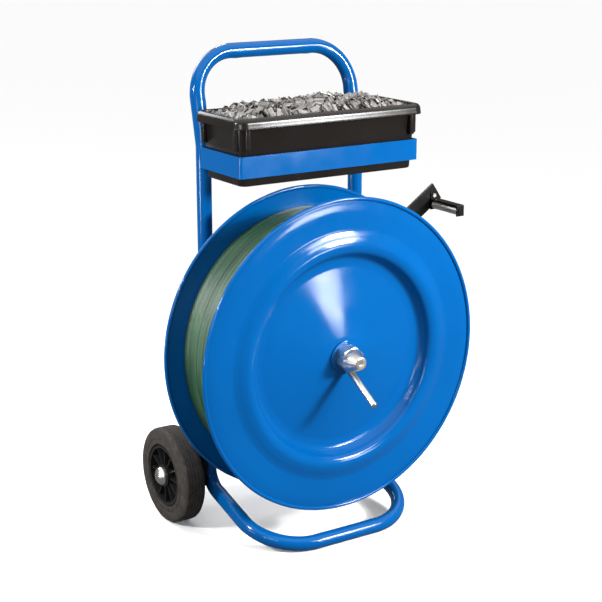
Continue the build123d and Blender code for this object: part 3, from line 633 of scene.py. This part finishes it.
def add_frame_tube():
    """One round tube bent into a closed loop: both uprights, the handle and the foot.

    The mandrel leaves each bend flattened outside, with a slight swell just before and after it."""
    heel_z = TUBE_R - FOOT_Y * math.tan(FOOT_SLOPE)
    right = [(0.0, LEAN_Z, LEAN_R), (0.0, heel_z, HEEL_R), (FOOT_Y, TUBE_R, FOOT_R)]
    left = [(FOOT_Y, TUBE_R, FOOT_R), (0.0, heel_z, HEEL_R)]
    bends = [(-UPRIGHT_X, 0.0, LEAN_Z, LEAN_R), (-UPRIGHT_X, HANDLE_Y, HANDLE_Z, HANDLE_R)]
    bends += [(UPRIGHT_X, HANDLE_Y, HANDLE_Z, HANDLE_R)]
    bends += [(UPRIGHT_X, *bend) for bend in right] + [(-UPRIGHT_X, *bend) for bend in left]
    corners = [bend[:3] for bend in bends]
    radii = [bend[3] for bend in bends]
    path = fill_runs(rounded_path(corners, radii), 12.0)
    around = 40
    points, faces = [], []
    count = len(path)
    across = Vector((0, 1, 0))
    rings = []
    for i in range(count):
        ahead = (path[(i + 1) % count][0] - path[i - 1][0]).normalized()
        across = (across - ahead * across.dot(ahead)).normalized()
        rings.append((path[i][0], ahead, across.copy()))
    for (centre, ahead, side), (_, depth, inside) in zip(rings, path):
        up = ahead.cross(side)
        for k in range(around):
            a = 2 * math.pi * k / around
            out = side * math.cos(a) + up * math.sin(a)
            facing = out.dot(inside)
            towards, away = max(0.0, facing), max(0.0, -facing)
            if depth >= 0:
                radius = TUBE_R - depth * (1.5 * away ** 3 + 0.25 * towards ** 2)
            else:
                radius = TUBE_R - depth * towards ** 2
            points.append(centre + out * radius)
    first_side, last_side = rings[0][2], rings[-1][2]
    up = rings[0][1].cross(first_side)
    twist = math.atan2(last_side.dot(up), last_side.dot(first_side))
    shift = round(twist / (2 * math.pi / around))
    for i in range(count):
        offset = shift if i == count - 1 else 0
        a, b = i * around, ((i + 1) % count) * around
        for k in range(around):
            far, far_next = b + (k + offset) % around, b + (k + 1 + offset) % around
            faces.append((a + k, a + (k + 1) % around, far_next, far))
    made = piece("frame_tube", points, faces, "frame", "blue_paint", 60.0)
    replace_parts(made, "handle_bow", "foot_bow", "left_upright", "right_upright")


# ---------------------------------------------------------------- tray
TRAY = (0.0, -106.25, 864.0)    # middle of the tray's top
LIP_X, LIP_Y, LIP_CORNER = 214.7, 85.75, 23.0
TRAY_DEPTH = 129.0


def rounded_ring(half_x, half_y, corner, z):
    """Points of a rectangle with rounded corners about the tray's middle, anticlockwise."""
    ring = []
    steps = 8
    for quarter, (sx, sy) in enumerate(((1, 1), (-1, 1), (-1, -1), (1, -1))):
        for k in range(steps + 1):
            a = math.radians(90 * quarter + 90 * k / steps)
            x = sx * (half_x - corner) + corner * math.cos(a)
            y = sy * (half_y - corner) + corner * math.sin(a)
            ring.append((TRAY[0] + x, TRAY[1] + y, z))
    return ring


def tray_ring(inset, drop):
    """Ring on the lip's outline moved in by inset, at this depth below the tray's top."""
    corner = max(LIP_CORNER - inset, 3.0)
    return rounded_ring(LIP_X - inset, LIP_Y - inset, corner, TRAY[2] - drop)


def body_ring(inset, z):
    """Ring on the tray's tapered wall, moved in by inset."""
    wider = 7.0 * (z - TRAY[2] + TRAY_DEPTH) / TRAY_DEPTH
    return rounded_ring(198.0 + wider - inset, 68.5 + wider - inset, 15.0 - inset, z)


def add_rib(points, faces, x, y, wide, deep, low, high):
    """Upright rib with broken edges, standing on the tray's wall."""
    first = len(points)
    cut = 1.2
    outline = [(-wide + cut, -deep), (wide - cut, -deep), (wide, -deep + cut), (wide, deep - cut)]
    outline += [(-px, -py) for px, py in outline]
    for z, size in ((low, 0.92), (low + 2.0, 1.0), (high, 1.0)):
        for px, py in outline:
            points.append((TRAY[0] + x + px * size, TRAY[1] + y + py * size, z))
    for level in (0, 8):
        for k in range(8):
            a, b = first + level + k, first + level + (k + 1) % 8
            faces.append((a, b, b + 8, a + 8))
    faces.append(tuple(range(first, first + 8)))
    faces.append(tuple(range(first + 16, first + 24)))


def add_tray():
    """Moulded tray: a tapered box with a rolled lip that hangs down round it."""
    rings = [body_ring(6.5, 737.5), body_ring(3.2, 738.3), body_ring(2.5, 740.5), body_ring(2.5, 858.0)]
    rings += [tray_ring(12.6, 2.2), tray_ring(12.1, 0.7), tray_ring(11.3, 0.1)]
    for k in range(8):
        a = math.radians(90 - 90 * k / 7)
        rings.append(tray_ring(10.3 - 10.3 * math.cos(a), 11.0 - 11.0 * math.sin(a)))
    rings += [tray_ring(-0.7, 16.0), tray_ring(-1.3, 19.2), tray_ring(-1.0, 20.0), tray_ring(0.6, 20.0)]
    rings += [tray_ring(1.0, 19.2), tray_ring(2.4, 12.0), tray_ring(5.0, 5.6), tray_ring(8.6, 4.0)]
    rings += [body_ring(0.0, 858.5), body_ring(0.0, 738.0), body_ring(0.8, 736.0), body_ring(3.0, 735.0)]
    points = [p for ring in rings for p in ring]
    count = len(rings[0])
    faces = []
    for i in range(len(rings) - 1):
        for k in range(count):
            a, b = i * count + k, i * count + (k + 1) % count
            faces.append((a, b, b + count, a + count))
    faces.append(tuple(range(count)))
    faces.append(tuple(range((len(rings) - 1) * count, len(rings) * count)))
    for sx in (-1, 1):
        for sy in (-1, 1):
            add_rib(points, faces, sx * 203.5, sy * 58.0, 6.5, 5.0, 804.5, 858.0)
            add_rib(points, faces, sx * 188.0, sy * 74.0, 5.0, 6.5, 804.5, 858.0)
    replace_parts(piece("moulded_tray", points, faces, "tray", "tray_plastic", 50.0), "seal_tray")


# ---------------------------------------------------------------- seals in the tray
def seal_section():
    """Open U of a strap seal: (across, up) points round its folded strip, 0.5 mm thick."""
    top = [(-5.6, -3.0), (-4.4, -0.5), (-3.7, 0.0), (3.7, 0.0), (4.4, -0.5), (5.6, -3.0)]
    under = [(5.0, -3.2), (4.0, -1.0), (3.5, -0.5), (-3.5, -0.5), (-4.0, -1.0), (-5.0, -3.2)]
    return top + under


def add_seals():
    """Seals dropped one at a time on a height map of the tray, each resting on those below it."""
    chance = random.Random(5)
    cell = 2.6
    half_x, half_y = 200.0, 71.0
    columns, rows = int(2 * half_x / cell), int(2 * half_y / cell)

    def mound(x, y):
        """Height that the heap has here, above the tray's rim."""
        ends = 1.0 - max(0.0, abs(x) - 120.0) / 80.0
        sides = 1.0 - (abs(y) / half_y) ** 2.2 * 0.62
        wave = 2.2 * math.sin(x / 31.0 + 0.6) + 1.8 * math.sin(x / 17.0 - y / 23.0)
        return -17.0 + 27.0 * max(0.12, ends) ** 0.8 * sides + wave * max(0.0, ends)

    def cell_middle(i, j):
        return -half_x + (i + 0.5) * cell, -half_y + (j + 0.5) * cell

    bed_depth = 17.0
    height = [[mound(*cell_middle(i, j)) - bed_depth for j in range(rows)] for i in range(columns)]
    length, thick = 18.5, 2.9
    points, faces = [], []

    def drop(x, y, yaw, lean, roll, upside):
        """Adds one seal that lies on the cells it covers; says whether there was room for it."""
        c, s = math.cos(yaw), math.sin(yaw)
        cover = []
        for i in range(columns):
            px = -half_x + (i + 0.5) * cell - x
            if abs(px) > 12.0:
                continue
            for j in range(rows):
                py = -half_y + (j + 0.5) * cell - y
                along, over = px * c + py * s, -px * s + py * c
                if abs(along) < length / 2 + 0.6 and abs(over) < 5.8:
                    cover.append((i, j, along, over))
        if len(cover) < 15:
            return False
        mean_a = sum(v[2] for v in cover) / len(cover)
        mean_o = sum(v[3] for v in cover) / len(cover)
        spread_a = sum((v[2] - mean_a) ** 2 for v in cover)
        spread_o = sum((v[3] - mean_o) ** 2 for v in cover)
        tilt_a = sum((v[2] - mean_a) * height[v[0]][v[1]] for v in cover) / spread_a + lean
        tilt_o = sum((v[3] - mean_o) * height[v[0]][v[1]] for v in cover) / spread_o + roll
        tilt_a = max(-1.1, min(1.1, tilt_a))
        tilt_o = max(-1.2, min(1.2, tilt_o))
        levels = sorted(height[i][j] - tilt_a * a - tilt_o * o for i, j, a, o in cover)
        lift = levels[int(len(cover) * 0.86)]
        if lift > mound(x, y) + 5.0:
            return False
        for i, j, a, o in cover:
            height[i][j] = max(height[i][j], lift + tilt_a * a + tilt_o * o + thick * 0.72)
        ahead = Vector((c, s, tilt_a)).normalized()
        sideways = Vector((-s, c, tilt_o))
        sideways = (sideways - ahead * sideways.dot(ahead)).normalized()
        normal = ahead.cross(sideways)
        base = Vector((TRAY[0] + x, TRAY[1] + y, TRAY[2] + lift))
        base += normal * (thick if not upside else 0.4)
        flip = -1.0 if upside else 1.0
        section = seal_section()
        first = len(points)
        flare = chance.uniform(0.75, 1.15)
        for end in (-length / 2, length / 2):
            for over, up in section:
                points.append(base + ahead * end + sideways * over * flip + normal * up * flip * flare)
        size = len(section)
        for k in range(size):
            a, b = first + k, first + (k + 1) % size
            faces.append((a, b, b + size, a + size))
        for start in (first, first + size):
            for k in range(5):
                faces.append((start + k, start + k + 1, start + size - 2 - k, start + size - 1 - k))
        return True

    kept, tries = 0, 0
    most_seals, most_tries = 1700, 14000
    while kept < most_seals and tries < most_tries:
        tries += 1
        x = chance.uniform(-half_x + 10, half_x - 10)
        y = chance.uniform(-half_y + 8, half_y - 8)
        yaw = chance.uniform(0, math.pi)
        kept += drop(x, y, yaw, chance.gauss(0, 0.26), chance.gauss(0, 0.34), chance.random() < 0.35)
    seals = piece("loose_seals", points, faces, "tray", "seal_steel", 20.0)
    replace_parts(seals, "seals_heap")

    bed_points, bed_faces = [], []
    for i in range(columns):
        for j in range(rows):
            x, y = cell_middle(i, j)
            level = TRAY[2] + mound(x, y) - 12.0 + chance.uniform(-1.5, 1.5)
            bed_points.append((TRAY[0] + x * 0.985, TRAY[1] + y * 0.97, level))
    for i in range(columns - 1):
        for j in range(rows - 1):
            a = i * rows + j
            bed_faces.append((a, a + rows, a + rows + 1, a + 1))
    rim = [(0, j) for j in range(rows)] + [(i, rows - 1) for i in range(1, columns)]
    rim += [(columns - 1, j) for j in range(rows - 2, -1, -1)] + [(i, 0) for i in range(columns - 2, 0, -1)]
    top = [i * rows + j for i, j in rim]
    floor_z = 740.5
    low = []
    for index in top:
        x, y, _ = bed_points[index]
        low.append(len(bed_points))
        bed_points.append((x * 0.955, TRAY[1] + (y - TRAY[1]) * 0.90, floor_z))
    for k in range(len(top)):
        n = (k + 1) % len(top)
        bed_faces.append((top[k], top[n], low[n], low[k]))
    bed_faces.append(tuple(low))
    piece("seals_below", bed_points, bed_faces, "tray", "seal_steel", 20.0)


# ---------------------------------------------------------------- return spring
def add_spring():
    """Closely wound tension spring with a hook at each end, from its anchor to the arm's pin."""
    x, low, high = 230.4, 420.0, 545.1
    hook, coil_low, coil_high = 6.2, low + 15.0, high - 15.0
    turns, per_turn, coil_r, wire = 38, 14, 7.0, 1.0
    line = []
    for k in range(13):
        a = math.radians(-60 + 300 * k / 12)
        line.append(Vector((x, hook * math.sin(a), low - hook * math.cos(a))))
    for k in range(turns * per_turn + 1):
        a = 2 * math.pi * k / per_turn
        z = coil_low + (coil_high - coil_low) * k / (turns * per_turn)
        line.append(Vector((x + coil_r * math.cos(a), coil_r * math.sin(a), z)))
    for k in range(13):
        a = math.radians(-120 + 300 * k / 12)
        line.append(Vector((x + hook * math.sin(a), 0.0, high - hook * math.cos(a))))
    around = 6
    points, faces = [], []
    side = Vector((0, 1, 0))
    for i, centre in enumerate(line):
        ahead = line[min(i + 1, len(line) - 1)] - line[max(i - 1, 0)]
        ahead.normalize()
        side = (side - ahead * side.dot(ahead)).normalized()
        up = ahead.cross(side)
        for k in range(around):
            a = 2 * math.pi * k / around
            points.append(centre + (side * math.cos(a) + up * math.sin(a)) * wire)
    for i in range(len(line) - 1):
        for k in range(around):
            a, b = i * around, (i + 1) * around
            faces.append((a + k, a + (k + 1) % around, b + (k + 1) % around, b + k))
    faces.append(tuple(range(around)))
    faces.append(tuple(range((len(line) - 1) * around, len(line) * around)))
    mesh = bpy.data.meshes.new("wound_spring")
    mesh.from_pydata([p * MM for p in points], [], faces)
    for face in mesh.polygons:
        face.use_smooth = True
    made = bpy.data.objects.new("wound_spring", mesh)
    scene.collection.objects.link(made)
    mesh.materials.append(materials["zinc_steel"])
    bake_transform(made)
    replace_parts(made, "return_spring")


# ---------------------------------------------------------------- put it together
add_camera()
add_world()
materials = make_materials()
add_floor()
add_lights()
for part in frame["record"]["subparts"]:
    node = nodes[part["node"]]
    node.data.materials.clear()
    node.data.materials.append(materials[part["material_slot"]])
add_flange("pressed_front_flange", "front_flange", "clamp_slide", -1, FRONT_HOLE_R)
add_flange("pressed_rear_flange", "rear_flange", "reel", 1, REAR_HOLE_R)
add_nut()
add_coil()
add_tyre("left", -1)
add_tyre("right", 1)
add_frame_tube()
add_tray()
add_seals()
add_spring()

scene.view_settings.view_transform = "Standard"
